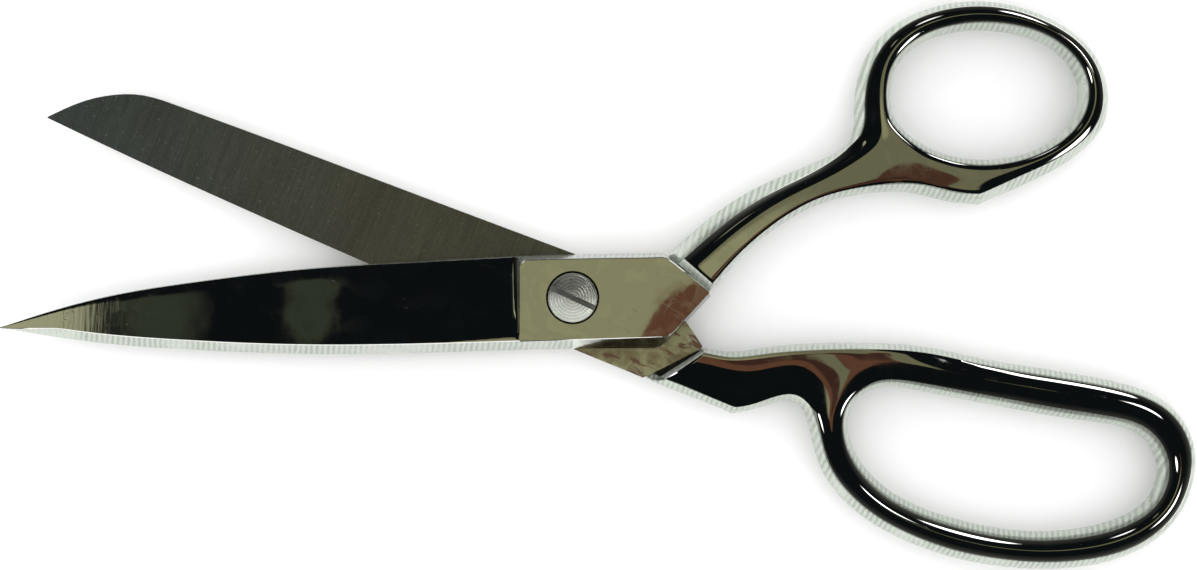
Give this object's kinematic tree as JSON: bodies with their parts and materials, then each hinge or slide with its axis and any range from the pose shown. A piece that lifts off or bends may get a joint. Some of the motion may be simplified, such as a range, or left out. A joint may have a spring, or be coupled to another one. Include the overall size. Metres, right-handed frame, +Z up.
{
  "type": "bent-handle dressmaking shears",
  "caption": "Chrome-plated dressmaking shears with straight cutting edges, a small thumb bow and a long finger bow, joined at a slotted pivot screw.",
  "frame": {"origin": "on the pivot axis, at the plane that the shears lie on", "axes": "+X from the blades towards the bows along the thumb blade's length, +Z up, away from the surface that the shears lie on"},
  "size_m": [0.2005, 0.0955, 0.01],
  "materials": {
    "chrome_plate": "polished plate, with ground blade faces",
    "turned_steel": "turned, fine rings",
    "spring_steel": "dull rolled spring steel"
  },
  "bodies": {
    "finger": {"finger_half": "chrome_plate", "pivot_screw": "turned_steel", "lock_nut": "turned_steel", "spring_washer": "spring_steel"},
    "thumb": {"thumb_half": "chrome_plate"}
  },
  "joints": [
    {"name": "pivot", "type": "hinge", "parent": "finger", "child": "thumb", "pos_m": [0, 0, 0.0045], "axis": [0, 0, 1], "range_deg": [-21.3, 48]}
  ]
}
